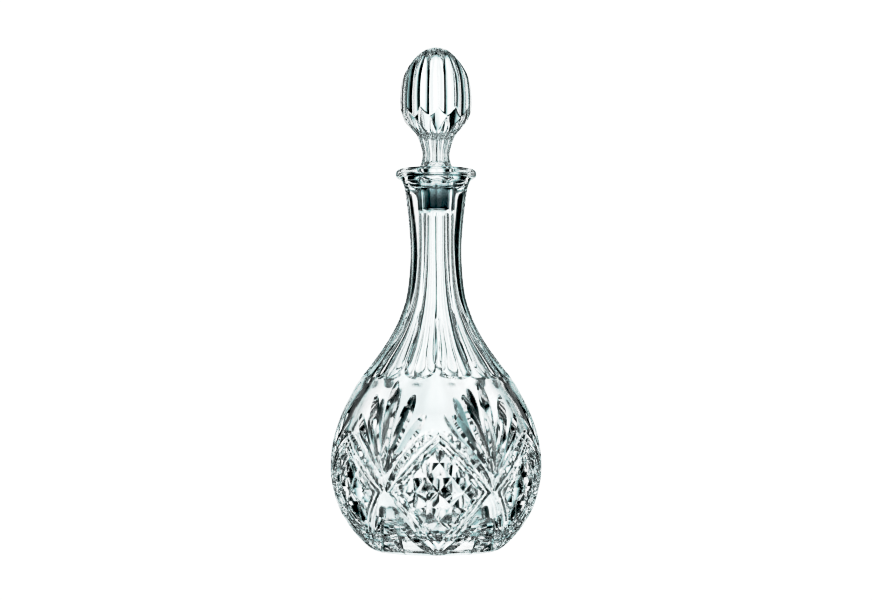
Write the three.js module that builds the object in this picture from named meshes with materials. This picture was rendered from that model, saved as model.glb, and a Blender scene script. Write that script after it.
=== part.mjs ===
// A cut-glass wine decanter: a long-necked glass bottle, its glass stopper and the stopper's sleeve.
// Millimetres, +Z up. The origin is the middle of the base, on the surface that the bottle stands on.
// Angles about the bottle are counted from its front, the -Y side, towards +X.

import * as THREE from 'three';

// Driving dimensions of the bottle
const FLUTES = 12;
const BASE_RADIUS = 39;
const RECESS_RADIUS = 31;
const RECESS_DEPTH = 1.2;
const BELLY_RADIUS = 68.8;
const BELLY_HEIGHT = 53.5;
const BELLY_WALL = 6.4;
const FLOOR_THICKNESS = 9;
const NECK_RADIUS = 16.8;
const NECK_HEIGHT = 190;
const NECK_BORE_RADIUS = 8.6;
const LIP_RADIUS = 26.5;
const LIP_UNDERSIDE = 242.6;
const LIP_TOP = 248.5;
const LIP_ROUNDING = 1.4;

// The bottle's flutes run from under the lip to rounded ends on the shoulder
const FLUTE_TOP = 241;
const FLUTE_RUN_IN = 5;
const FLUTE_END = 117.5;
const FLUTE_END_ROUNDING = 6;
const FLUTE_RUN_OUT = 1.8;
const NECK_FLUTE_DEPTH = 1.5;
const SHOULDER_FLUTE_DEPTH = 2.6;
const SHOULDER_LAND_WIDTH = 3;

// Driving dimensions of the stopper
const TOTAL_HEIGHT = 330;
const STOPPER_TURN = THREE.MathUtils.degToRad(4);
const HEAD_RADIUS = 23.6;
const HEAD_HEIGHT = 296;
const STEM_RADIUS = 9.2;
const STEM_TOP = 261;
const FOOT_RADIUS = 10.6;
const PLUG_BOTTOM = 222;
const PLUG_TIP_RADIUS = 5.9;
const PLUG_TAPER = 0.033;
const PLUG_EDGE = 0.9;
const HEAD_FLUTE_DEPTH = 1.5;
const HEAD_FLUTE_START = 284;
const ZIGZAG_HEIGHT = 8;
const STEM_FLUTE_DEPTH = 0.5;

// Driving dimensions of the sleeve, and the gaps that let the pieces move
const SLEEVE_WALL = 1.2;
const SLEEVE_BOTTOM = 223;
const SLEEVE_TOP = 243;
const CLEARANCE = 0.1;
const SEAT_GAP = 0.3;

// How finely the round shapes are divided: a multiple of the flutes, so that each ridge is an edge
const SEGMENTS = FLUTES * 4;

const { clamp, smoothstep, lerp } = THREE.MathUtils;
const point = (radius, height) => new THREE.Vector2(radius, height);

// A smooth curve through the points, with the given number of steps between each two of them.
function smooth(points, steps) {
  return new THREE.SplineCurve(points).getPoints((points.length - 1) * steps);
}

// A solid of revolution about Z, from a profile that starts at the bottom.
function turned(profile) {
  return new THREE.LatheGeometry(profile, SEGMENTS).rotateX(Math.PI / 2);
}

// Where an angle lies in its flute: 0 in the middle of the flute, 1 at the ridges beside it.
function acrossFlute(angle) {
  const turns = (angle * FLUTES) / (2 * Math.PI);
  return 2 * Math.abs(turns - Math.floor(turns) - 0.5);
}

// Cuts flutes into a turned solid between two points of its profile, depth(radius, height, across) deep.
function cutFlutes(geometry, profile, first, last, depth) {
  const position = geometry.attributes.position;
  for (let i = 0; i < position.count; i += 1) {
    const along = i % profile.length;
    if (along >= first && along < last) {
      const x = position.getX(i);
      const y = position.getY(i);
      const radius = Math.hypot(x, y);
      const across = acrossFlute(Math.atan2(x, -y));
      const share = 1 - depth(radius, position.getZ(i), across) / radius;
      position.setXY(i, x * share, y * share);
    }
  }
  geometry.computeVertexNormals();
}

function glass() {
  return new THREE.MeshStandardMaterial({
    color: 0xdfe8e6, roughness: 0.04, metalness: 0, transparent: true, opacity: 0.4,
  });
}

function clearPlastic() {
  return new THREE.MeshStandardMaterial({
    color: 0xe9eceb, roughness: 0.35, metalness: 0, transparent: true, opacity: 0.6,
  });
}

// The plug narrows downwards, so that it wedges in the bore.
function plugRadius(height) {
  return PLUG_TIP_RADIUS + PLUG_TAPER * (height - PLUG_BOTTOM);
}

function sleeveInnerRadius(height) {
  return plugRadius(height) + CLEARANCE;
}

function sleeveOuterRadius(height) {
  return sleeveInnerRadius(height) + SLEEVE_WALL;
}

// The bore follows the sleeve's taper.
function boreRadius(height) {
  return sleeveOuterRadius(height) + CLEARANCE;
}

// The bottle's outside, from the base ring round the belly and up the neck to the lip.
function bottleOutline() {
  return smooth([
    point(BASE_RADIUS, 0),
    point(44.4, 2.6),
    point(53.7, 12.4),
    point(62.3, 25.5),
    point(67, 40),
    point(BELLY_RADIUS, BELLY_HEIGHT),
    point(67.4, 70),
    point(61.9, 88.4),
    point(53.4, 105.5),
    point(48, 113.5),
    point(42, 121.2),
    point(31, 137),
    point(23.2, 152.6),
    point(18.7, 168),
    point(NECK_RADIUS, NECK_HEIGHT),
    point(17.6, 211.6),
    point(20.4, 235),
    point(22.4, FLUTE_TOP),
  ], 2);
}

// The lip is a thick ring with a rounded rim.
function lipOutline() {
  return [
    point(LIP_RADIUS - LIP_ROUNDING, LIP_UNDERSIDE),
    point(LIP_RADIUS, LIP_UNDERSIDE + LIP_ROUNDING),
    point(LIP_RADIUS, LIP_TOP - LIP_ROUNDING),
    point(LIP_RADIUS - LIP_ROUNDING, LIP_TOP),
  ];
}

// The hollow, from the mouth down the neck and round the belly to the middle of the floor.
function hollowOutline() {
  const chamfer = 0.8;
  const seatBottom = PLUG_BOTTOM - 2;
  const mouth = [
    point(boreRadius(LIP_TOP) + chamfer, LIP_TOP),
    point(boreRadius(LIP_TOP), LIP_TOP - chamfer),
    point(boreRadius(seatBottom), seatBottom),
  ];
  const inside = smooth([
    point(boreRadius(seatBottom), seatBottom - 3),
    point(NECK_BORE_RADIUS, NECK_HEIGHT),
    point(11.4, 165),
    point(16.2, 151),
    point(24.6, 135.5),
    point(35.8, 118),
    point(46.6, 103),
    point(55.4, 86.5),
    point(61, 69),
    point(BELLY_RADIUS - BELLY_WALL, BELLY_HEIGHT),
    point(60.4, 38),
    point(54, 24),
    point(41, 14),
    point(22, FLOOR_THICKNESS + 0.6),
    point(0, FLOOR_THICKNESS),
  ], 1);
  return [...mouth, ...inside];
}

// The flutes widen and deepen with the shoulder, where a flat land is left between them.
function neckFluteDepth(radius, height, across) {
  const shoulderShare = smoothstep(radius, NECK_RADIUS, 3 * NECK_RADIUS);
  const halfPitch = (Math.PI * radius) / FLUTES;
  const cutShare = 1 - (0.5 * SHOULDER_LAND_WIDTH * shoulderShare) / halfPitch;
  const hollow = Math.max(0, 1 - (across / cutShare) ** 2);
  const end = FLUTE_END - FLUTE_END_ROUNDING * Math.sqrt(hollow);
  const runOut = clamp((height - end) / FLUTE_RUN_OUT, 0, 1);
  const runIn = clamp((FLUTE_TOP - height) / FLUTE_RUN_IN, 0, 1);
  return lerp(NECK_FLUTE_DEPTH, SHOULDER_FLUTE_DEPTH, shoulderShare) * hollow * runIn * runOut;
}

// The bottle is one piece of glass: base ring, belly, shoulder, neck and lip.
function decanterBody() {
  const underside = [point(0, RECESS_DEPTH), point(RECESS_RADIUS - 4, RECESS_DEPTH), point(RECESS_RADIUS, 0)];
  const outline = bottleOutline();
  const profile = [...underside, ...outline, ...lipOutline(), ...hollowOutline()];
  const geometry = turned(profile);
  cutFlutes(geometry, profile, underside.length, underside.length + outline.length, neckFluteDepth);
  return new THREE.Mesh(geometry, glass());
}

// The sleeve is a thin plastic tube on the plug, which it grips and which it seals in the bore.
function stopperSleeve() {
  const profile = [
    point(sleeveInnerRadius(SLEEVE_BOTTOM), SLEEVE_BOTTOM),
    point(sleeveOuterRadius(SLEEVE_BOTTOM), SLEEVE_BOTTOM),
    point(sleeveOuterRadius(SLEEVE_TOP), SLEEVE_TOP),
    point(sleeveInnerRadius(SLEEVE_TOP), SLEEVE_TOP),
    point(sleeveInnerRadius(SLEEVE_BOTTOM), SLEEVE_BOTTOM),
  ];
  return new THREE.Mesh(turned(profile), clearPlastic());
}

// The plug, up to the underside of the foot that rests on the lip.
function plugOutline() {
  const seat = LIP_TOP + SEAT_GAP;
  const collar = SLEEVE_TOP + 1;
  return [
    point(0, PLUG_BOTTOM),
    point(PLUG_TIP_RADIUS - PLUG_EDGE, PLUG_BOTTOM),
    point(plugRadius(PLUG_BOTTOM + PLUG_EDGE), PLUG_BOTTOM + PLUG_EDGE),
    point(plugRadius(collar), collar),
    point(boreRadius(LIP_TOP) - 0.5, seat),
    point(FOOT_RADIUS - 0.8, seat),
  ];
}

// The foot, the waisted stem and the egg-shaped head.
function headOutline() {
  return smooth([
    point(FOOT_RADIUS, LIP_TOP + SEAT_GAP + LIP_ROUNDING),
    point(STEM_RADIUS, 255.5),
    point(STEM_RADIUS, STEM_TOP),
    point(12.2, 270.5),
    point(20, 280.5),
    point(23.1, 289),
    point(HEAD_RADIUS, HEAD_HEIGHT),
    point(21.9, 308.5),
    point(16.6, 319),
    point(8.8, 327),
    point(0, TOTAL_HEIGHT),
  ], 2);
}

// The head's flutes start on a zigzag line, high at the ridges. Below it the stem has flutes of its own.
function stopperFluteDepth(radius, height, across) {
  const start = HEAD_FLUTE_START + ZIGZAG_HEIGHT * (across - 0.5);
  const onHead = smoothstep(height, start - ZIGZAG_HEIGHT, start);
  const onStem = 1 - smoothstep(height, STEM_TOP, start - ZIGZAG_HEIGHT);
  const hollow = 1 - across ** 2;
  return hollow * ((HEAD_FLUTE_DEPTH * onHead * radius) / HEAD_RADIUS + STEM_FLUTE_DEPTH * onStem);
}

// The stopper is one solid piece of glass: plug, foot, stem and head.
function stopper() {
  const plug = plugOutline();
  const profile = [...plug, ...headOutline()];
  const geometry = turned(profile);
  const tip = profile.length - 1;
  cutFlutes(geometry, profile, plug.length + 1, tip, stopperFluteDepth);
  const mesh = new THREE.Mesh(geometry, glass());
  mesh.rotation.z = STOPPER_TURN;
  return mesh;
}

function named(mesh, name) {
  mesh.name = name;
  return mesh;
}

const decanter = new THREE.Group();
decanter.add(
  named(decanterBody(), 'decanter_body'),
  named(stopperSleeve(), 'stopper_sleeve'),
  named(stopper(), 'stopper'),
);

export default decanter;
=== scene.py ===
"""A cut-glass wine decanter with a fluted stopper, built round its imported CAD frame.

Metres, +Z up. Angles about the axis are in degrees, counted from the front (-Y) towards +X.
The bottle's cuts are worked out as a depth below its smooth outline at each angle and height.
"""
import math
import bpy
import numpy as np
from mathutils import Euler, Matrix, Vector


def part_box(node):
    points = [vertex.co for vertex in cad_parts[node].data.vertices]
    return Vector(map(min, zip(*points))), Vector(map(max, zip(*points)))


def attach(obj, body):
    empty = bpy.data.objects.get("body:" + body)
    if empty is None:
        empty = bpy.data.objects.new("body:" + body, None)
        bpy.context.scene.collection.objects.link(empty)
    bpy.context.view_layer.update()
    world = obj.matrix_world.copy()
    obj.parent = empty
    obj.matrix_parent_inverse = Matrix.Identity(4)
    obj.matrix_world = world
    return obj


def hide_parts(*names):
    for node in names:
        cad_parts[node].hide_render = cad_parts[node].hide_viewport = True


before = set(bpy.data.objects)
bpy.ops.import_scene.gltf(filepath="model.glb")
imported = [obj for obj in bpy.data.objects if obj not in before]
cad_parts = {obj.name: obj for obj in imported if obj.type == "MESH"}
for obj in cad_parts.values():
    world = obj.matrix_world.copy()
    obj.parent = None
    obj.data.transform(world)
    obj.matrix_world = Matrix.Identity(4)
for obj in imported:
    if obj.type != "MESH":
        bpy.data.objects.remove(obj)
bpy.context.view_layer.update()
MM = 0.001

# Sizes that come from the frame
BODY_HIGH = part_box("decanter_body")[1]
STOPPER_LOW, STOPPER_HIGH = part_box("stopper")
SLEEVE_LOW, SLEEVE_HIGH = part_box("stopper_sleeve")
BELLY_RADIUS = BODY_HIGH.x
LIP_TOP = BODY_HIGH.z
TOTAL_HEIGHT = STOPPER_HIGH.z
PLUG_BOTTOM = STOPPER_LOW.z
SLEEVE_RADIUS = SLEEVE_HIGH.x

# The grid that the cuts are worked out on, and the number of points in plainer rings
COLUMNS = 480
ROWS = 160
NECK_ROWS = 40
FINE_ROUND = COLUMNS // 2
PLAIN_ROUND = COLUMNS // 4
COARSE_ROUND = COLUMNS // 8

# The bottle's smooth outside, as radius and height, from the base ring to the top of the neck
NECK_RADIUS = 16.8 * MM
FLUTE_TOP = 241 * MM
BODY_OUTLINE = [
    (39 * MM, 0), (44.4 * MM, 2.6 * MM), (53.7 * MM, 12.4 * MM), (62.3 * MM, 25.5 * MM),
    (67 * MM, 40 * MM), (BELLY_RADIUS, 53.5 * MM), (67.4 * MM, 70 * MM), (61.9 * MM, 88.4 * MM),
    (53.4 * MM, 105.5 * MM), (48 * MM, 113.5 * MM), (42 * MM, 121.2 * MM), (31 * MM, 137 * MM),
    (23.2 * MM, 152.6 * MM), (18.7 * MM, 168 * MM), (NECK_RADIUS, 190 * MM), (17.6 * MM, 211.6 * MM),
    (20.4 * MM, 235 * MM), (22.4 * MM, FLUTE_TOP),
]
# The hollow, from the bore under the plug to the middle of the floor
BELLY_WALL = 6.4 * MM
FLOOR_THICKNESS = 6 * MM
HOLLOW_OUTLINE = [
    (7.6 * MM, 217 * MM), (8.6 * MM, 190 * MM), (11.4 * MM, 165 * MM), (16.2 * MM, 151 * MM),
    (24.6 * MM, 135.5 * MM), (35.8 * MM, 118 * MM), (46.6 * MM, 103 * MM), (55.4 * MM, 86.5 * MM),
    (61 * MM, 69 * MM), (BELLY_RADIUS - BELLY_WALL, 53.5 * MM), (61.5 * MM, 38 * MM),
    (56.6 * MM, 24 * MM), (48 * MM, 13 * MM), (30 * MM, 6.6 * MM), (0, FLOOR_THICKNESS),
]
# In how many steps a spline goes from one outline point to the next
OUTLINE_STEPS = 60
HOLLOW_STEPS = 4
# The underside, from the shallow recess to the flat base ring, as (number of points, radius, height)
RECESS_HEIGHT = 1.2 * MM
UNDERSIDE_RINGS = [
    (COARSE_ROUND, 12 * MM, RECESS_HEIGHT), (PLAIN_ROUND, 24 * MM, RECESS_HEIGHT),
    (FINE_ROUND, 27.5 * MM, 1.1 * MM), (FINE_ROUND, 30.5 * MM, 0), (COLUMNS, 34 * MM, 0),
]
# The flat round lip, which is rounded at its edge, and the mouth in it
LIP_RADIUS = 26.5 * MM
LIP_ROUNDING = 2.2 * MM
LIP_UNDERSIDE = 242.8 * MM
LIP_ROOT = (23.4 * MM, 242.2 * MM)
LIP_ROOT_GAP = 0.2 * MM
LIP_FLAT_RADIUS = 17 * MM
LOW_EDGE_START = -80
LOW_EDGE_STEPS = 7
TOP_EDGE_STEPS = 8
CORNER_STEPS = 5
MOUTH_GAP = 0.2 * MM
MOUTH_ROUNDING = 0.9 * MM
# The bore's top and bottom, which touch the sleeve
BORE_GAP = 0.1 * MM
BORE_TOP = 243 * MM
BORE_FOOT = (7.3 * MM, 220 * MM)
# How matt the hollow is below the bore
HOLLOW_MATT = 0.07
# Edges sharper than this stay sharp in the shading, in degrees
GLASS_CREASE = 24

# How high the grid goes, and how its points move onto the cuts' edges
CUT_TOP = 121 * MM
SNAP_STEPS = 4
SNAP_BEND = 0.006 * MM
# A number so small that it only keeps a sum from being divided by nothing
TINY = 1e-9

# The cut pattern: six diamonds round the belly, with a fan above and a petal below between each two.
# Places on a diamond are counted sideways and upwards from its middle. Its corners are at DIAMOND_REACH.
DIAMONDS = 6
FAN_ANGLE = 180 / DIAMONDS
DIAMOND_REACH = 28.5
DIAMOND_TOP = 77.4 * MM
DIAMOND_MIDDLE = 41 * MM
DIAMOND_BOTTOM = 1.2 * MM
BORDER_BULGE = 1.2
REACH_TO_LENGTH = 0.85 * MM
BORDER_GROOVES = (27, 24)
BORDER_HALF_WIDTH = 1.4
BORDER_DEPTH = 0.5 * MM
LATTICE_PITCH = 14.5
LATTICE_HALF_WIDTH = 6.4
LATTICE_REACH = 22.5
LATTICE_DEPTH = 2.9 * MM
# The arched leaf along a diamond's upper side, and the ridges that cross it
UPPER_LEAF_OFFSET = 4.3 * MM
UPPER_LEAF_HALF_WIDTH = 2.4 * MM
UPPER_LEAF_ARCH = 0.7
UPPER_LEAF_GROWTH = 0.6
RIDGE_PITCH = 6.2 * MM
RIDGE_HALF_WIDTH = 0.9 * MM
RIDGE_RISE = 0.45
# The straight leaf along a diamond's lower side. Its taper and its square end are shares, as in reach_of
LOWER_LEAF_HALF_WIDTH = 2.5 * MM
LOWER_LEAF_BOW = 1.6 * MM
LOWER_LEAF_SLOPE = 0.9
LOWER_LEAF_GROWTH = 0.6
LOWER_LEAF_TAPER = 0.4
LOWER_LEAF_END = 0.34
LOWER_LEAF_END_WIDTH = 0.03
# The leaves' slopes, how they widen from the root, and how far along a leaf is widest
LEAF_SLOPE = 0.62
LEAF_GROWTH = 0.75
LEAF_SWELL = 0.72
PETAL_SLOPE = 0.55
PETAL_SWELL = 0.8
# A fan's leaves, as the tip's angle from the diamond's middle, the tip's height and half the width
FAN_ROOT_HEIGHT = 50 * MM
FAN_LEAVES = [
    (FAN_ANGLE, 110.5 * MM, 4.3 * MM), (15.6, 101.8 * MM, 4.1 * MM), (7.7, 89.5 * MM, 3.5 * MM),
]
PETAL_ROOT_HEIGHT = 0.6 * MM
PETAL_TIP_HEIGHT = 25 * MM
PETAL_HALF_WIDTH = 5.4 * MM

# The flutes on the neck and shoulder
FLUTES = 12
FLUTE_RUN_IN = 5 * MM
FLUTE_END = 118 * MM
FLUTE_END_ROUNDING = 7 * MM
FLUTE_END_BEVEL = 3 * MM
SHOULDER_WIDENING = 1.2 * NECK_RADIUS
NECK_FLUTE_DEPTH = 0.75 * MM
SHOULDER_FLUTE_DEPTH = 1.3 * MM
SHOULDER_LAND_WIDTH = 3 * MM
SHOULDER_BEVEL_WIDTH = 0.8 * MM
SHOULDER_BEVEL_DEPTH = 0.72 * MM


def spline(points, steps):
    """A Catmull-Rom curve through the points, as an array."""
    p = np.array(points, float)
    before = np.vstack([p[:1], p[:-2]])
    after = np.vstack([p[2:], p[-1:]])
    start, end = p[:-1], p[1:]
    t = np.linspace(0, 1, steps, endpoint=False)[None, :, None]
    v0 = (end - before)[:, None, :] / 2
    v1 = (after - start)[:, None, :] / 2
    a, b = start[:, None, :], end[:, None, :]
    curve = (2 * a - 2 * b + v0 + v1) * t**3 + (3 * b - 3 * a - 2 * v0 - v1) * t**2 + v0 * t + a
    return np.vstack([curve.reshape(-1, 2), p[-1:]])


class Outline:
    """A smooth outline that can be read by the distance along it."""

    def __init__(self, points):
        curve = spline(points, OUTLINE_STEPS)
        step = np.diff(curve, axis=0)
        self.along = np.concatenate([[0], np.cumsum(np.hypot(step[:, 0], step[:, 1]))])
        self.radius, self.height = curve[:, 0], curve[:, 1]
        slope_r = np.gradient(self.radius, self.along)
        slope_z = np.gradient(self.height, self.along)
        length = np.hypot(slope_r, slope_z)
        self.out_r, self.out_z = slope_z / length, -slope_r / length

    def at(self, along):
        """Radius, height and the outward direction (radial, vertical)."""
        values = (self.radius, self.height, self.out_r, self.out_z)
        return [np.interp(along, self.along, v) for v in values]

    def where(self, height):
        """The distance along at a height."""
        return np.interp(height, self.height, self.along)


body_outline = Outline(BODY_OUTLINE)
MIDDLE_RADIUS = body_outline.at(body_outline.where(DIAMOND_MIDDLE))[0]


def rise_rates():
    """The rates a and b in rise = a * h + b * h * h, for the height h above a diamond's middle."""
    up, down = DIAMOND_TOP - DIAMOND_MIDDLE, DIAMOND_MIDDLE - DIAMOND_BOTTOM
    b = DIAMOND_REACH * (1 / up - 1 / down) / (up + down)
    return DIAMOND_REACH / up - b * up, b


RISE_A, RISE_B = rise_rates()


def place_on_diamond(angle, along):
    """How far sideways and upwards from the nearest diamond's middle a place is, seen from its front."""
    radius, height = body_outline.at(along)[:2]
    across = np.sin(np.radians(folded(angle, DIAMONDS))) / math.sin(math.radians(DIAMOND_REACH))
    above = height - DIAMOND_MIDDLE
    return DIAMOND_REACH * across * radius / MIDDLE_RADIUS, RISE_A * above + RISE_B * above * above


def reach_of(side, up):
    """How far out from the diamond's middle a place is, and its share of up in side and up together.

    The lines of equal reach are slightly arched diamonds.
    """
    total = side + np.abs(up) + TINY
    share = np.abs(up) / total
    return total - 4 * BORDER_BULGE * share * (1 - share), share


def folded(angle, count):
    """The angle's distance from the nearest of count evenly spaced directions."""
    pitch = 360 / count
    return np.abs((angle + pitch / 2) % pitch - pitch / 2)


def groove(distance, half_width, depth):
    """A V-shaped groove's depth."""
    return depth * np.clip(1 - np.abs(distance) / half_width, 0, None)


def leaf(angle, along, root, tip, half_width, slope=LEAF_SLOPE, swell=LEAF_SWELL):
    """A leaf-shaped V cut from its narrow root to its round tip, each an angle and a height."""
    root_along = body_outline.where(root[1])
    tip_along = body_outline.where(tip[1])
    scale = math.radians(1) * body_outline.at((root_along + tip_along) / 2)[0]
    dx, dy = (tip[0] - root[0]) * scale, tip_along - root_along
    length = math.hypot(dx, dy)
    x, y = (angle - root[0]) * scale, along - root_along
    forward = (x * dx + y * dy) / length**2
    across = (x * dy - y * dx) / length
    grow = np.clip(forward / swell, 0, 1) ** LEAF_GROWTH
    close = np.sqrt(np.clip(1 - (np.clip(forward - swell, 0, None) / (1 - swell)) ** 2, 0, 1))
    width = half_width * np.where(forward < swell, grow, close)
    return slope * np.clip(width - np.abs(across), 0, None)


def deepest(*cuts):
    """The deepest of the cuts at each place."""
    result = cuts[0]
    for cut in cuts[1:]:
        result = np.maximum(result, cut)
    return result


def lattice_depth(side, up, reach):
    """Crossing grooves inside the diamond's border leave rows of small pyramids."""
    one = folded(side + up, 360 / LATTICE_PITCH)
    other = folded(side - up, 360 / LATTICE_PITCH)
    cut = deepest(
        groove(one, LATTICE_HALF_WIDTH, LATTICE_DEPTH),
        groove(other, LATTICE_HALF_WIDTH, LATTICE_DEPTH),
    )
    return cut * np.clip(LATTICE_REACH - reach, 0, 1)


def border_depth(reach):
    """The two fine grooves round the lattice."""
    return deepest(*[groove(reach - at, BORDER_HALF_WIDTH, BORDER_DEPTH) for at in BORDER_GROOVES])


def upper_edge_leaf(side, up, reach, share):
    """The arched leaf that lies along a diamond's upper side, crossed by low ridges."""
    arch = np.sin(np.pi * share)
    width = UPPER_LEAF_HALF_WIDTH * arch**UPPER_LEAF_GROWTH
    offset = (reach - DIAMOND_REACH) * REACH_TO_LENGTH - UPPER_LEAF_OFFSET * arch**UPPER_LEAF_ARCH
    depth = LEAF_SLOPE * np.clip(width - np.abs(offset), 0, None)
    run = (side - up) * REACH_TO_LENGTH / RIDGE_PITCH
    from_ridge = np.abs(run - np.round(run)) * RIDGE_PITCH
    ridge = np.clip(1 - from_ridge / RIDGE_HALF_WIDTH, 0, None)
    return np.where(up > 0, depth * (1 - RIDGE_RISE * ridge), 0)


def lower_edge_leaf(up, reach, share):
    """The straight leaf along a diamond's lower side, pointed at the base and square at its top."""
    width = LOWER_LEAF_HALF_WIDTH * np.clip((1 - share) / LOWER_LEAF_TAPER, 0, 1) ** LOWER_LEAF_GROWTH
    bow = LOWER_LEAF_BOW * np.sin(np.pi * share)
    offset = (reach - DIAMOND_REACH) * REACH_TO_LENGTH - width - bow
    depth = LOWER_LEAF_SLOPE * np.clip(width - np.abs(offset), 0, None)
    end = np.clip((share - LOWER_LEAF_END) / LOWER_LEAF_END_WIDTH, 0, 1)
    return np.where(up < 0, depth * end, 0)


def fan_depth(angle, along):
    """The leaves that spread from the diamonds' corners, and the wide petal under them."""
    root = (FAN_ANGLE, FAN_ROOT_HEIGHT)
    leaves = [leaf(angle, along, root, (tip, height), width) for tip, height, width in FAN_LEAVES]
    petal_root = (FAN_ANGLE, PETAL_ROOT_HEIGHT)
    petal_tip = (FAN_ANGLE, PETAL_TIP_HEIGHT)
    petal = leaf(angle, along, petal_root, petal_tip, PETAL_HALF_WIDTH, PETAL_SLOPE, PETAL_SWELL)
    return deepest(*leaves, petal)


def flute_depth(angle, along):
    """Shallow flutes, with ridges at the front and every 30 degrees.

    On the shoulder they have bevelled sides and rounded ends, and the ridges between them widen
    into flat lands.
    """
    radius, height = body_outline.at(along)[:2]
    share = np.clip((radius - NECK_RADIUS) / SHOULDER_WIDENING, 0, 1)
    share = share * share * (3 - 2 * share)
    half_width = math.pi * radius / FLUTES - 0.5 * SHOULDER_LAND_WIDTH * share
    from_middle = np.radians(folded(angle + 180 / FLUTES, FLUTES)) * radius
    hollow = np.clip(1 - (from_middle / half_width) ** 2, 0, None)
    bevel = np.clip((half_width - from_middle) / SHOULDER_BEVEL_WIDTH, 0, 1)
    end = FLUTE_END - FLUTE_END_ROUNDING * np.sqrt(hollow)
    run_out = np.clip((height - end) / FLUTE_END_BEVEL, 0, 1)
    run_in = np.clip((FLUTE_TOP - height) / FLUTE_RUN_IN, 0, 1)
    depth = NECK_FLUTE_DEPTH + (SHOULDER_FLUTE_DEPTH - NECK_FLUTE_DEPTH) * share
    return (depth * hollow + SHOULDER_BEVEL_DEPTH * share * bevel) * run_out * np.sqrt(run_in)


def body_depth(angle, along):
    """How deep the bottle is cut, at angles and at distances along its outline."""
    side, up = place_on_diamond(angle, along)
    reach, share = reach_of(side, up)
    return deepest(
        lattice_depth(side, up, reach),
        border_depth(reach),
        upper_edge_leaf(side, up, reach, share),
        lower_edge_leaf(up, reach, share),
        fan_depth(folded(angle, DIAMONDS), along),
        flute_depth(angle, along),
    )


def snapped(angle, along, cell):
    """Slides each grid point by up to half a cell, sideways or up, onto the sharpest cut edge nearby."""
    best = np.full(angle.shape, SNAP_BEND)
    shift = [np.zeros(angle.shape), np.zeros(angle.shape)]
    for way in (0, 1):
        step = cell[way] / (2 * SNAP_STEPS)
        spots = np.arange(-SNAP_STEPS - 2, SNAP_STEPS + 2) * step
        lines = [body_depth(angle + (1 - way) * x, along + way * x) for x in spots]
        for k in range(2, len(spots) - 2):
            bend = np.abs(lines[k - 1] - 2 * lines[k] + lines[k + 1])
            sharper = bend > best
            left = (lines[k - 1] - lines[k - 2]) / step
            right = (lines[k + 2] - lines[k + 1]) / step
            gap = lines[k + 1] - lines[k - 1] - (left + right) * step
            turn = np.where(np.abs(left - right) < TINY, TINY, left - right)
            place = spots[k] + np.clip(gap / turn, -step, step)
            best = np.where(sharper, bend, best)
            shift[way] = np.where(sharper, place, shift[way])
            shift[1 - way] = np.where(sharper, 0, shift[1 - way])
    return angle + shift[0], along + shift[1]


def rising_cells(angle, along, depth):
    """Which diagonal of each cell follows the cuts better: True for the one that rises to the right."""
    angle = np.hstack([angle, angle[:, :1] + 360])
    along, depth = [np.hstack([v, v[:, :1]]) for v in (along, depth)]
    rows, columns = depth.shape[0] - 1, depth.shape[1] - 1
    errors = []
    for ends in (((0, 0), (1, 1)), ((0, 1), (1, 0))):
        corners = [[v[r:r + rows, c:c + columns] for r, c in ends] for v in (angle, along, depth)]
        middle_angle, middle_along, middle_depth = [sum(pair) / 2 for pair in corners]
        errors.append(np.abs(body_depth(middle_angle, middle_along) - middle_depth))
    return errors[0] <= errors[1]


def ring_points(angles, radius, height):
    """Points round the axis, at these angles, radii and heights."""
    radians = np.radians(angles)
    height = np.broadcast_to(height, radians.shape)
    return np.stack([radius * np.sin(radians), -radius * np.cos(radians), height], axis=-1)


def cut_points(angle, along, depth):
    """Points on the bottle's outside, at these depths below its smooth outline."""
    radius, height, out_r, out_z = body_outline.at(along)
    return ring_points(angle, radius - depth * out_r, height - depth * out_z)


# The values that each face carries for its material
FACE_VALUES = ("matt", "contact")


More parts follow.
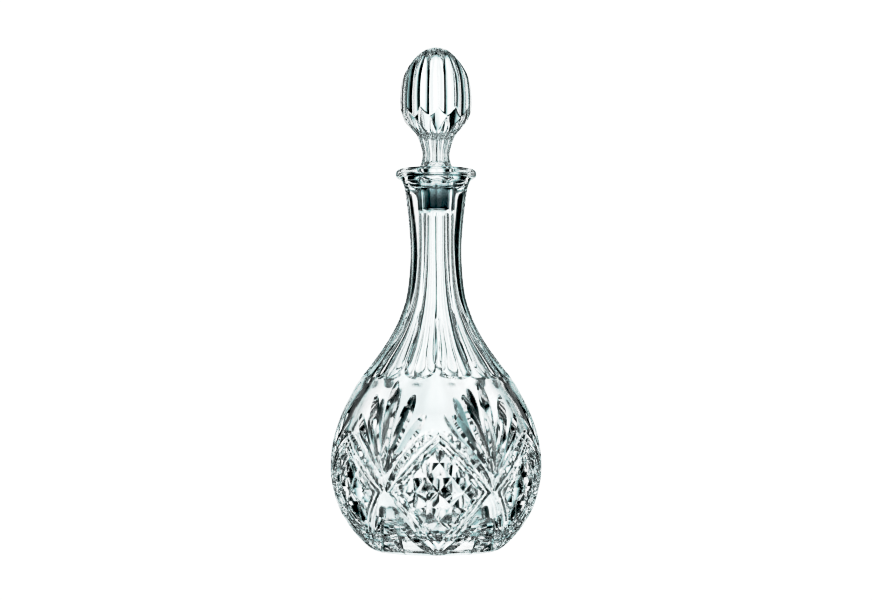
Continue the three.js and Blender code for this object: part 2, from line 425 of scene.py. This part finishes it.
class Rings:
    """Builds one closed surface from rings of points, between two points on the axis or as a tube."""

    def __init__(self):
        self.points, self.faces, self.finishes = [], [], []
        self.first, self.count, self.total = 0, 0, 0

    def finish(self, matt=0.0, contact=0.0):
        """The finish of the faces from here on: how matt, and 1 where they touch another clear piece."""
        self.finishes.append((sum(len(f) for f in self.faces), matt, contact))

    def pole(self, height):
        """A point on the axis, at the start or the end."""
        at = self.total
        self.points.append(np.array([[0, 0, height]]))
        self.total += 1
        if self.count:
            k = np.arange(self.count)
            n = (k + 1) % self.count
            self.faces.append(np.stack([self.first + k, self.first + n, np.full_like(k, at)], axis=1))
        self.first, self.count = at, 1

    def ring(self, points, rising=None):
        """One more ring, with as many points as the last one, or twice or half as many.

        Each four-sided cell is split along its rising diagonal, or along the other where rising is False.
        """
        low, low_count, high, high_count = self.first, self.count, self.total, len(points)
        self.points.append(points)
        self.total += high_count
        k = np.arange(min(low_count, high_count) if low_count > 1 else high_count)
        if low_count == 1:
            n = (k + 1) % high_count
            self.faces.append(np.stack([np.full_like(k, low), high + n, high + k], axis=1))
        elif low_count == high_count:
            n = (k + 1) % low_count
            a, b, c, d = low + k, low + n, high + n, high + k
            rising = np.ones((len(k), 1), bool) if rising is None else rising[:, None]
            one = np.where(rising, np.stack([a, b, c], 1), np.stack([a, b, d], 1))
            two = np.where(rising, np.stack([a, c, d], 1), np.stack([b, c, d], 1))
            self.faces += [one, two]
        elif low_count == 2 * high_count:
            a, b, c = low + 2 * k, low + 2 * k + 1, low + (2 * k + 2) % low_count
            d, e = high + k, high + (k + 1) % high_count
            self.faces += [np.stack(f, 1) for f in ((a, b, d), (b, c, e), (b, e, d))]
        elif high_count == 2 * low_count:
            a, b = low + k, low + (k + 1) % low_count
            c, d, e = high + 2 * k, high + 2 * k + 1, high + (2 * k + 2) % high_count
            self.faces += [np.stack(f, 1) for f in ((a, b, d), (a, d, c), (b, e, d))]
        else:
            raise ValueError(f"a ring of {high_count} points can't follow one of {low_count}")
        self.first, self.count = high, high_count

    def round(self, count, radius, height):
        """A plain round ring."""
        self.ring(ring_points(np.arange(count) * 360 / count, radius, height))

    def rounds(self, count, outline):
        """Plain round rings, one at each radius and height."""
        for radius, height in outline:
            self.round(count, radius, height)

    def tube(self, count, outline):
        """All the rings of a tube. The last one joins the first."""
        self.points.append(ring_points(np.arange(count) * 360 / count, *outline[0]))
        self.count = self.total = count
        self.rounds(count, outline[1:])
        k = np.arange(count)
        n = (k + 1) % count
        last = self.first
        self.faces += [np.stack([last + k, last + n, n], 1), np.stack([last + k, n, k], 1)]

    def build(self, name, crease):
        """The finished object. Edges sharper than crease, in degrees, stay sharp."""
        mesh = bpy.data.meshes.new(name)
        points = np.vstack(self.points)
        faces = np.vstack(self.faces)
        mesh.vertices.add(len(points))
        mesh.vertices.foreach_set("co", points.astype(np.float32).ravel())
        mesh.loops.add(faces.size)
        mesh.loops.foreach_set("vertex_index", faces.astype(np.int32).ravel())
        mesh.polygons.add(len(faces))
        mesh.polygons.foreach_set("loop_start", np.arange(0, faces.size, 3, dtype=np.int32))
        mesh.polygons.foreach_set("use_smooth", np.ones(len(faces), dtype=bool))
        values = np.zeros((len(faces), 2), np.float32)
        for start, *finish in self.finishes:
            values[start:] = finish
        for k, attribute in enumerate(FACE_VALUES):
            data = mesh.attributes.new(attribute, "FLOAT", "FACE").data
            data.foreach_set("value", values[:, k].copy())
        mesh.update(calc_edges=True)
        mesh.validate()
        mesh.set_sharp_from_angle(angle=math.radians(crease))
        piece = bpy.data.objects.new(name, mesh)
        bpy.context.scene.collection.objects.link(piece)
        return piece


def arc(centre, radius, start, end, steps):
    """Points on an arc in the outline's plane, with angles in degrees from outwards (0) to up (90)."""
    angles = np.radians(np.linspace(start, end, steps))
    return [(centre[0] + radius * math.cos(a), centre[1] + radius * math.sin(a)) for a in angles]


def add_underside(rings, angles):
    """From the middle of the recess to the outer edge of the base ring."""
    rings.pole(RECESS_HEIGHT)
    for count, radius, height in UNDERSIDE_RINGS:
        rings.round(count, radius, height)
    rings.ring(cut_points(angles, 0 * angles, 0))


def add_outside(rings, angles):
    """The cut belly and shoulder, on the fine grid, and the fluted neck with half as many columns."""
    low, high = body_outline.where(DIAMOND_BOTTOM), body_outline.where(CUT_TOP)
    rows = np.linspace(low, high, ROWS)
    angle, along = snapped(*np.meshgrid(angles, rows), (360 / COLUMNS, rows[1] - rows[0]))
    depth = body_depth(angle, along)
    rising = rising_cells(angle, along, depth)
    for row in range(ROWS):
        points = cut_points(angle[row], along[row], depth[row])
        rings.ring(points, rising[row - 1] if row else None)
    neck_angles = angles[::2]
    for place in np.linspace(high, body_outline.along[-1], NECK_ROWS + 1)[1:]:
        rings.ring(cut_points(neck_angles, place, flute_depth(neck_angles, place)))


def add_lip(rings):
    """The flat lip with its rounded edge, down to where the mouth starts."""
    edge_radius = LIP_RADIUS - LIP_ROUNDING
    low_edge = (edge_radius, LIP_UNDERSIDE + LIP_ROUNDING)
    top_edge = (edge_radius, LIP_TOP - LIP_ROUNDING)
    rings.rounds(FINE_ROUND, [LIP_ROOT, (edge_radius - LIP_ROOT_GAP, LIP_UNDERSIDE)])
    rings.rounds(FINE_ROUND, arc(low_edge, LIP_ROUNDING, LOW_EDGE_START, 0, LOW_EDGE_STEPS))
    rings.rounds(FINE_ROUND, arc(top_edge, LIP_ROUNDING, 0, 90, TOP_EDGE_STEPS))
    rings.round(FINE_ROUND, LIP_FLAT_RADIUS, LIP_TOP)
    mouth_edge = (SLEEVE_RADIUS + MOUTH_GAP + MOUTH_ROUNDING, LIP_TOP - MOUTH_ROUNDING)
    rings.rounds(PLAIN_ROUND, arc(mouth_edge, MOUTH_ROUNDING, 90, 180, CORNER_STEPS))


def make_bottle():
    """The bottle, as one piece of glass."""
    rings = Rings()
    angles = np.arange(COLUMNS) * 360 / COLUMNS
    add_underside(rings, angles)
    add_outside(rings, angles)
    add_lip(rings)
    rings.finish(contact=1)
    rings.rounds(PLAIN_ROUND, [(SLEEVE_RADIUS + BORE_GAP, BORE_TOP), BORE_FOOT])
    rings.finish(matt=HOLLOW_MATT)
    hollow = spline(HOLLOW_OUTLINE, HOLLOW_STEPS)
    rings.rounds(PLAIN_ROUND, hollow[:1 - HOLLOW_STEPS])
    rings.pole(FLOOR_THICKNESS)
    return rings.build("cut_glass_bottle", crease=GLASS_CREASE)


# How far the stopper is turned on the bottle, in degrees
STOPPER_TURN = 2.2
# The stopper's plug and foot. The foot's heights are above its seat on the lip
PLUG_INNER_RADIUS = 3 * MM
PLUG_CORNER_RADIUS = 5 * MM
PLUG_ROUNDING = 0.9 * MM
PLUG_INSET = 1.4 * MM
PLUG_TOP = 243.6 * MM
PLUG_NECK = (7.4 * MM, 246.5 * MM)
FOOT_GAP = 0.3 * MM
FOOT_OUTLINE = [(7.8 * MM, 0), (9.6 * MM, 0), (10.35 * MM, 0.4 * MM), (10.6 * MM, 1.1 * MM)]
# The stopper's outline under the zigzag line, and the egg above it
STEM_BOTTOM = 250.4 * MM
STEM_ROWS = 34
KITE_ROWS = 10
ZIGZAG_ROWS = 10
EGG_ROWS = 65
ZIGZAG_TOP = 288 * MM
ZIGZAG_BOTTOM = 281.3 * MM
KITE_BOTTOM = 271.5 * MM
HEAD_RADIUS = 23.55 * MM
HEAD_HEIGHT = 296 * MM
STEM_OUTLINE = [
    (10.6 * MM, 250.2 * MM), (9.2 * MM, 255.5 * MM), (9.2 * MM, 261 * MM), (12.2 * MM, 270.5 * MM),
    (16.6 * MM, 276 * MM), (20.6 * MM, 281.3 * MM), (23.4 * MM, 288.3 * MM),
]
EGG_OUTLINE = [
    (22.8 * MM, 278 * MM), (23.3 * MM, 287.5 * MM), (HEAD_RADIUS, HEAD_HEIGHT), (21.9 * MM, 308.5 * MM),
    (16.6 * MM, 319 * MM), (8.8 * MM, 327 * MM), (0, TOTAL_HEIGHT),
]
EGG_BOTTOM = EGG_OUTLINE[0][1]
# The flutes' depths, as shares of the radius, and where the stem's flutes run out above the foot
EGG_FLUTE_DEPTH = 0.07
STEM_FLUTE_DEPTH = 0.12
STEM_FLUTE_BOTTOM = 251 * MM
STEM_FLUTE_RUN_OUT = 2.2 * MM
# How narrow a stem flute is where it starts, as a share of its full width
LEAST_SPREAD = 0.001

stem_outline = Outline(STEM_OUTLINE)
egg_outline = Outline(EGG_OUTLINE)


def egg_radius(across, height):
    """The egg's radius with its concave flutes. across is 0 on a ridge and 1 in the middle of a flute."""
    ridge = np.interp(height, egg_outline.height, egg_outline.radius)
    hollow = 1 - (1 - across) ** 2
    return ridge * (1 - EGG_FLUTE_DEPTH * hollow)


def stem_radius(across, height):
    """The kite facets under the zigzag line, and the concave flutes that start between them."""
    flat = np.interp(height, stem_outline.height, stem_outline.radius)
    facet = flat / np.cos(np.radians(180 / FLUTES * across))
    spread = np.clip((ZIGZAG_BOTTOM - height) / (ZIGZAG_BOTTOM - KITE_BOTTOM), 0, 1)
    inside = np.clip(1 - (1 - across) / np.maximum(spread, LEAST_SPREAD), 0, 1)
    hollow = 1 - (1 - inside) ** 2
    run_out = np.clip((height - STEM_FLUTE_BOTTOM) / STEM_FLUTE_RUN_OUT, 0, 1)
    return facet - STEM_FLUTE_DEPTH * flat * hollow * np.sqrt(spread) * run_out


def add_plug(rings):
    """The plug and the foot. The plug's side touches the sleeve."""
    seat = LIP_TOP + FOOT_GAP
    foot = [(radius, seat + height) for radius, height in FOOT_OUTLINE]
    rings.pole(PLUG_BOTTOM)
    rings.round(COARSE_ROUND, PLUG_INNER_RADIUS, PLUG_BOTTOM)
    corner = (PLUG_CORNER_RADIUS, PLUG_BOTTOM + PLUG_ROUNDING)
    rings.rounds(PLAIN_ROUND, arc(corner, PLUG_ROUNDING, -90, 0, CORNER_STEPS))
    rings.finish(contact=1)
    rings.round(PLAIN_ROUND, SLEEVE_RADIUS - PLUG_INSET, PLUG_TOP)
    rings.finish()
    rings.rounds(PLAIN_ROUND, [PLUG_NECK, foot[0]])
    rings.rounds(FINE_ROUND, foot[1:])


def add_stem_and_egg(rings):
    """The fluted stem, the kite facets under the zigzag line, and the fluted egg."""
    angles = np.arange(FINE_ROUND) * 360 / FINE_ROUND
    across = folded(angles, FLUTES) / (180 / FLUTES)
    stem_rows = np.linspace(STEM_BOTTOM, KITE_BOTTOM, STEM_ROWS, endpoint=False)
    kite_rows = np.linspace(KITE_BOTTOM, ZIGZAG_BOTTOM, KITE_ROWS, endpoint=False)
    zigzag_rows = np.linspace(ZIGZAG_BOTTOM, ZIGZAG_TOP, ZIGZAG_ROWS, endpoint=False)
    egg_along = np.linspace(egg_outline.where(ZIGZAG_TOP), egg_outline.along[-1], EGG_ROWS + 1)[:-1]
    egg_rows = egg_outline.at(egg_along)[1]
    for height in np.concatenate([stem_rows, kite_rows, zigzag_rows]):
        radius = np.minimum(stem_radius(across, height), egg_radius(across, max(height, EGG_BOTTOM)))
        rings.ring(ring_points(angles + STOPPER_TURN, radius, height))
    for height in egg_rows:
        rings.ring(ring_points(angles + STOPPER_TURN, egg_radius(across, height), height))
    rings.pole(TOTAL_HEIGHT)


def make_stopper():
    """The solid glass stopper: plug, foot, stem and fluted egg."""
    rings = Rings()
    add_plug(rings)
    add_stem_and_egg(rings)
    return rings.build("fluted_stopper", crease=GLASS_CREASE)


# The sleeve's wall, its outer radius at the bottom and the width of its bevels
SLEEVE_WALL = SLEEVE_RADIUS - 6.75 * MM
SLEEVE_FOOT_RADIUS = 7.2 * MM
SLEEVE_EDGE = 0.25 * MM
SLEEVE_CREASE = 30


def make_sleeve():
    """The plug's thin plastic sleeve: a tapered tube with bevelled edges."""
    low, high = SLEEVE_LOW.z, SLEEVE_HIGH.z
    foot, inner_foot = SLEEVE_FOOT_RADIUS, SLEEVE_FOOT_RADIUS - SLEEVE_WALL
    top, inner_top = SLEEVE_RADIUS, SLEEVE_RADIUS - SLEEVE_WALL
    rings = Rings()
    rings.finish(contact=1)
    rings.tube(PLAIN_ROUND, [
        (inner_foot + SLEEVE_EDGE, low), (foot - SLEEVE_EDGE, low), (foot, low + SLEEVE_EDGE),
        (top, high - SLEEVE_EDGE), (top - SLEEVE_EDGE, high), (inner_top + SLEEVE_EDGE, high),
        (inner_top, high - SLEEVE_EDGE), (inner_foot, low + SLEEVE_EDGE),
    ])
    return rings.build("plug_sleeve", crease=SLEEVE_CREASE)


class Nodes:
    """A short way to build a material's or a world's nodes."""

    def __init__(self, tree):
        self.tree = tree
        tree.nodes.clear()

    def add(self, kind, **inputs):
        """A new node. Each input is a value or another node's output, with _ for a space in its name."""
        node = self.tree.nodes.new(kind)
        for name, value in inputs.items():
            self.set(node, name.replace("_", " "), value)
        return node

    def set(self, node, name, value):
        """Links a node's output to an input, or gives the input a value."""
        socket = node.inputs[name]
        if isinstance(value, bpy.types.NodeSocket):
            self.tree.links.new(value, socket)
        else:
            socket.default_value = value


def noise(nodes, scale, detail=2.0):
    """A noise texture that stays with the piece."""
    place = nodes.add("ShaderNodeTexCoord")
    return nodes.add("ShaderNodeTexNoise", Vector=place.outputs["Object"], Scale=scale, Detail=detail)


def math_node(nodes, operation, *values):
    """The result of an operation on other nodes' outputs."""
    node = nodes.add("ShaderNodeMath")
    node.operation = operation
    for k, value in enumerate(values):
        nodes.tree.links.new(value, node.inputs[k])
    return node.outputs[0]


def between(nodes, factor, low, high):
    """A value that goes from low to high with the factor."""
    node = nodes.add("ShaderNodeMapRange", Value=factor)
    nodes.set(node, "To Min", low)
    nodes.set(node, "To Max", high)
    return node.outputs["Result"]


# A Mix node has a set of sockets for each kind of value. These are the numbers of the colours' ones
MIX_COLOUR_INPUTS = (0, 6, 7)
MIX_COLOUR_RESULT = 2


def mixed(nodes, factor, low, high, blend="MIX"):
    """A colour that goes from low to high with the factor. Low and high are colours or nodes' outputs."""
    node = nodes.add("ShaderNodeMix")
    node.data_type, node.blend_type = "RGBA", blend
    sockets = [node.inputs[k] for k in MIX_COLOUR_INPUTS]
    for socket, value in zip(sockets, (factor, low, high)):
        if isinstance(value, bpy.types.NodeSocket):
            nodes.tree.links.new(value, socket)
        else:
            socket.default_value = (*value, 1) if isinstance(value, tuple) else value
    return node.outputs[MIX_COLOUR_RESULT]


def ramp(nodes, value, low, high, stops):
    """A colour that depends on a value, through stops of (value, colour) between low and high."""
    share = nodes.add("ShaderNodeMapRange", Value=value)
    nodes.set(share, "From Min", low)
    nodes.set(share, "From Max", high)
    node = nodes.add("ShaderNodeValToRGB", Fac=share.outputs["Result"])
    elements = node.color_ramp.elements
    elements.remove(elements[0])
    for k, (place, colour) in enumerate(stops):
        position = (place - low) / (high - low)
        element = elements.new(position) if k else elements[0]
        element.position = position
        element.color = (*colour, 1)
    return node.outputs[0]


WHITE = (1.0, 1.0, 1.0)
GLASS_IOR = 1.53
CONTACT_IOR = 1.001
GLASS_TINTS = (0.985, 0.994, 0.994), (0.992, 0.998, 0.998)
GLASS_POLISH = 0.008, 0.024
# The painted shade by how aslant a surface is seen, from straight on (0) to along it (1): none straight
# on, near black teal along it
ASLANT_PAINTED_SHADE = [(0, WHITE), (0.66, WHITE), (0.82, (0.55, 0.66, 0.65)), (0.95, (0.05, 0.09, 0.09))]
# The noises that make the waviness, the smears and the plastic's cloudiness
WAVE_SCALE = 90
WAVE_STRENGTH = 0.06
SMEAR_SCALE = 35
SMEAR_DETAIL = 5
CLOUD_SCALE = 160
CLOUD_DETAIL = 4
CLOUD_STRENGTH = 0.3
BUMP_HEIGHT = 0.4 * MM
# What makes the noises on the bottle and the stopper differ
BOTTLE_SEED = 0
STOPPER_SEED = 7


def attribute(nodes, name):
    """One of the faces' values, which Rings.finish sets."""
    node = nodes.add("ShaderNodeAttribute")
    node.attribute_name = name
    return node.outputs["Fac"]


def clear_finish(material, nodes, tint_and_shade, roughness, ior, bump):
    """A clear surface. Where it touches another clear piece, light goes straight through it."""
    # The base colour is the piece's own colour multiplied by its painted shade
    shader = nodes.add(
        "ShaderNodeBsdfPrincipled", Base_Color=tint_and_shade, Transmission_Weight=1.0, Roughness=roughness,
        IOR=between(nodes, attribute(nodes, "contact"), ior, CONTACT_IOR), Normal=bump,
    )
    out = nodes.add("ShaderNodeOutputMaterial")
    nodes.tree.links.new(shader.outputs[0], out.inputs["Surface"])
    return material


def glass_material(name, seed):
    """Crystal: slight waviness, faint smears, a cool colour, and painted shade that darkens it where its
    surface is seen aslant.
    """
    material = bpy.data.materials.new(name)
    material.use_nodes = True
    nodes = Nodes(material.node_tree)
    wave = noise(nodes, WAVE_SCALE + seed)
    smear = noise(nodes, SMEAR_SCALE + seed, SMEAR_DETAIL)
    bump = nodes.add(
        "ShaderNodeBump", Strength=WAVE_STRENGTH, Distance=BUMP_HEIGHT, Height=wave.outputs[0],
    )
    aslant = nodes.add("ShaderNodeLayerWeight", Blend=0.5, Normal=bump.outputs[0]).outputs["Facing"]
    tint_and_shade = mixed(nodes, smear.outputs[0], *GLASS_TINTS)
    # Painted shade: the glass's colour is multiplied down to dark teal where its surface is seen aslant
    tint_and_shade = mixed(nodes, 1.0, tint_and_shade, ramp(nodes, aslant, 0, 1, ASLANT_PAINTED_SHADE), "MULTIPLY")
    polish = between(nodes, smear.outputs[0], *GLASS_POLISH)
    roughness = math_node(nodes, "MAXIMUM", polish, attribute(nodes, "matt"))
    return clear_finish(material, nodes, tint_and_shade, roughness, GLASS_IOR, bump.outputs[0])


# The sleeve's colour with painted shade, by height above its bottom: dark at its bottom end and lighter
# upwards; and the pale and dark streaks that run down it
SLEEVE_TINT_AND_SHADE = [
    (0 * MM, (0.2, 0.21, 0.215)), (0.6 * MM, (0.2, 0.21, 0.215)), (0.9 * MM, (0.5, 0.525, 0.53)),
    (6.5 * MM, (0.53, 0.555, 0.56)), (8.5 * MM, (0.66, 0.69, 0.695)), (12 * MM, (0.8, 0.83, 0.83)),
    (16 * MM, (0.93, 0.95, 0.95)),
]
SLEEVE_STREAKS = [(0.4, (0.72, 0.74, 0.75)), (0.6, WHITE)]
SLEEVE_POLISH = 0.05, 0.2
STREAK_SCALE = 260
STREAK_STRETCH = (1, 1, 0.05)


def plastic_material():
    """Translucent plastic, a little cloudy and streaked, with painted shade that makes it dark at its
    bottom end and lighter towards its top.
    """
    material = bpy.data.materials.new("sleeve_plastic")
    material.use_nodes = True
    nodes = Nodes(material.node_tree)
    cloud = noise(nodes, CLOUD_SCALE, CLOUD_DETAIL)
    bump = nodes.add(
        "ShaderNodeBump", Strength=CLOUD_STRENGTH, Distance=BUMP_HEIGHT, Height=cloud.outputs[0],
    )
    place = nodes.add("ShaderNodeTexCoord").outputs["Object"]
    up = nodes.add("ShaderNodeSeparateXYZ", Vector=place).outputs["Z"]
    # Painted shade: the sleeve's colour is near black at its bottom end and grows lighter towards its top
    stops = [(SLEEVE_LOW.z + height, tint_and_shade) for height, tint_and_shade in SLEEVE_TINT_AND_SHADE]
    tint_and_shade = ramp(nodes, up, SLEEVE_LOW.z, SLEEVE_HIGH.z, stops)
    drawn = nodes.add("ShaderNodeMapping", Vector=place, Scale=STREAK_STRETCH)
    streaks = nodes.add("ShaderNodeTexNoise", Vector=drawn.outputs[0], Scale=STREAK_SCALE, Detail=1.0)
    tint_and_shade = mixed(nodes, 1.0, tint_and_shade, ramp(nodes, streaks.outputs[0], 0, 1, SLEEVE_STREAKS), "MULTIPLY")
    roughness = between(nodes, cloud.outputs[0], *SLEEVE_POLISH)
    return clear_finish(material, nodes, tint_and_shade, roughness, GLASS_IOR, bump.outputs[0])


# The levels of the light that the glass sees
BRIGHT = (0.97, 0.97, 0.97)
LIT = (0.88, 0.88, 0.88)
FAINT_TEAL = (0.76, 0.82, 0.825)
PALE_TEAL = (0.61, 0.69, 0.695)
TEAL = (0.31, 0.385, 0.388)
DARK = (0.02, 0.027, 0.027)
# The level round the axis, by the angle in degrees from the nearest of the four sides (0) to the
# diagonal between two sides (45)
DIAGONAL = 45
LIGHT_ROUND = [
    (0, FAINT_TEAL), (7, BRIGHT), (12, BRIGHT), (19, PALE_TEAL), (23, TEAL), (26, DARK), (38, DARK),
    (41, LIT), (DIAGONAL, LIT),
]
# The level by height, from straight down (-1) to straight up (1)
LIGHT_UP = [
    (-1, LIT), (-0.9, LIT), (-0.85, PALE_TEAL), (-0.7, PALE_TEAL), (-0.62, FAINT_TEAL),
    (-0.5, BRIGHT), (0.62, BRIGHT), (0.66, PALE_TEAL), (0.69, DARK), (0.75, DARK),
    (0.79, PALE_TEAL), (0.82, BRIGHT), (1, BRIGHT),
]
LIGHT_LEVEL = 1.12


def make_world():
    """A white studio for the camera.

    The glass sees four wide lit panels and four narrow ones, with dark gaps between them.
    """
    world = bpy.data.worlds.new("studio")
    bpy.context.scene.world = world
    world.use_nodes = True
    nodes = Nodes(world.node_tree)
    place = nodes.add("ShaderNodeTexCoord")
    split = nodes.add("ShaderNodeSeparateXYZ", Vector=place.outputs["Generated"])
    across = math_node(nodes, "ABSOLUTE", split.outputs["X"])
    along = math_node(nodes, "ABSOLUTE", split.outputs["Y"])
    shorter = math_node(nodes, "MINIMUM", across, along)
    longer = math_node(nodes, "MAXIMUM", across, along)
    angle = math_node(nodes, "DEGREES", math_node(nodes, "ARCTAN2", shorter, longer))
    round_level = ramp(nodes, angle, 0, DIAGONAL, LIGHT_ROUND)
    up_level = ramp(nodes, split.outputs["Z"], -1, 1, LIGHT_UP)
    level = mixed(nodes, 1.0, round_level, up_level, "MULTIPLY")
    path = nodes.add("ShaderNodeLightPath")
    seen = path.outputs["Is Camera Ray"]
    strength = between(nodes, seen, LIGHT_LEVEL, 1.0)
    light = nodes.add("ShaderNodeBackground", Color=mixed(nodes, seen, level, WHITE), Strength=strength)
    out = nodes.add("ShaderNodeOutputWorld")
    nodes.tree.links.new(light.outputs[0], out.inputs["Surface"])


# How far the floor reaches, and how far under the bottle it lies, in metres
FLOOR_REACH = 6
FLOOR_DROP = 0.2 * MM


def floor_material():
    """White to the camera, and clear to everything else."""
    material = bpy.data.materials.new("pale_floor")
    material.use_nodes = True
    nodes = Nodes(material.node_tree)
    path = nodes.add("ShaderNodeLightPath")
    clear = nodes.add("ShaderNodeBsdfTransparent")
    glow = nodes.add("ShaderNodeEmission", Color=(*WHITE, 1), Strength=1.0)
    mix = nodes.add("ShaderNodeMixShader", Fac=path.outputs["Is Camera Ray"])
    out = nodes.add("ShaderNodeOutputMaterial")
    nodes.tree.links.new(clear.outputs[0], mix.inputs[1])
    nodes.tree.links.new(glow.outputs[0], mix.inputs[2])
    nodes.tree.links.new(mix.outputs[0], out.inputs["Surface"])
    return material


def make_floor():
    """A white floor for the camera. The glass sees the studio's light through it."""
    mesh = bpy.data.meshes.new("floor")
    low, high = -FLOOR_REACH, FLOOR_REACH
    mesh.from_pydata([(low, low, 0), (high, low, 0), (high, high, 0), (low, high, 0)], [], [(0, 1, 2, 3)])
    mesh.materials.append(floor_material())
    floor = bpy.data.objects.new("floor", mesh)
    bpy.context.scene.collection.objects.link(floor)
    floor.location.z = -FLOOR_DROP


# The camera stands VIEW_TURN degrees to the left of the bottle's front, and tilts up by VIEW_TILT degrees
VIEW_TURN = 1.8
VIEW_TILT = 2.34
VIEW_DISTANCE = 1.2
VIEW_HEIGHT = 114 * MM
VIEW_LENS = 75.6


def make_camera():
    """Level with the top of the belly and tilted up a little."""
    data = bpy.data.cameras.new("camera")
    data.lens = VIEW_LENS
    camera = bpy.data.objects.new("camera", data)
    bpy.context.scene.collection.objects.link(camera)
    turn = math.radians(VIEW_TURN)
    camera.location = (-VIEW_DISTANCE * math.sin(turn), -VIEW_DISTANCE * math.cos(turn), VIEW_HEIGHT)
    camera.rotation_euler = Euler((math.radians(90 + VIEW_TILT), 0, -turn))
    bpy.context.scene.camera = camera


# The picture's tone curve, which makes it as crisp as the photo, and the number of the curve it goes on
TONE_CURVE = [(0.11, 0), (0.34, 0.17), (0.61, 0.70), (0.96, 1)]
ALL_COLOURS = 3
# How often light may cross or mirror off the glass
GLASS_BOUNCES = 24
GLOSSY_BOUNCES = 12


def set_contrast(view):
    """Puts the tone curve on all three colours together."""
    view.use_curve_mapping = True
    points = view.curve_mapping.curves[ALL_COLOURS].points
    points[0].location = TONE_CURVE[0]
    points[1].location = TONE_CURVE[-1]
    for place in TONE_CURVE[1:-1]:
        points.new(*place)
    view.curve_mapping.update()


def finish_piece(piece, body, node, material):
    """Gives a piece its material and its place in the frame."""
    piece.data.materials.append(material)
    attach(piece, body)
    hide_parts(node)


make_camera()
make_world()
make_floor()
bottle_glass = glass_material("decanter_glass", BOTTLE_SEED)
stopper_glass = glass_material("stopper_glass", STOPPER_SEED)
finish_piece(make_bottle(), "decanter", "decanter_body", bottle_glass)
finish_piece(make_stopper(), "stopper", "stopper", stopper_glass)
finish_piece(make_sleeve(), "sleeve", "stopper_sleeve", plastic_material())

scene = bpy.context.scene
scene.view_settings.view_transform = "Standard"
set_contrast(scene.view_settings)
scene.cycles.max_bounces = GLASS_BOUNCES
scene.cycles.transmission_bounces = GLASS_BOUNCES
scene.cycles.glossy_bounces = GLOSSY_BOUNCES
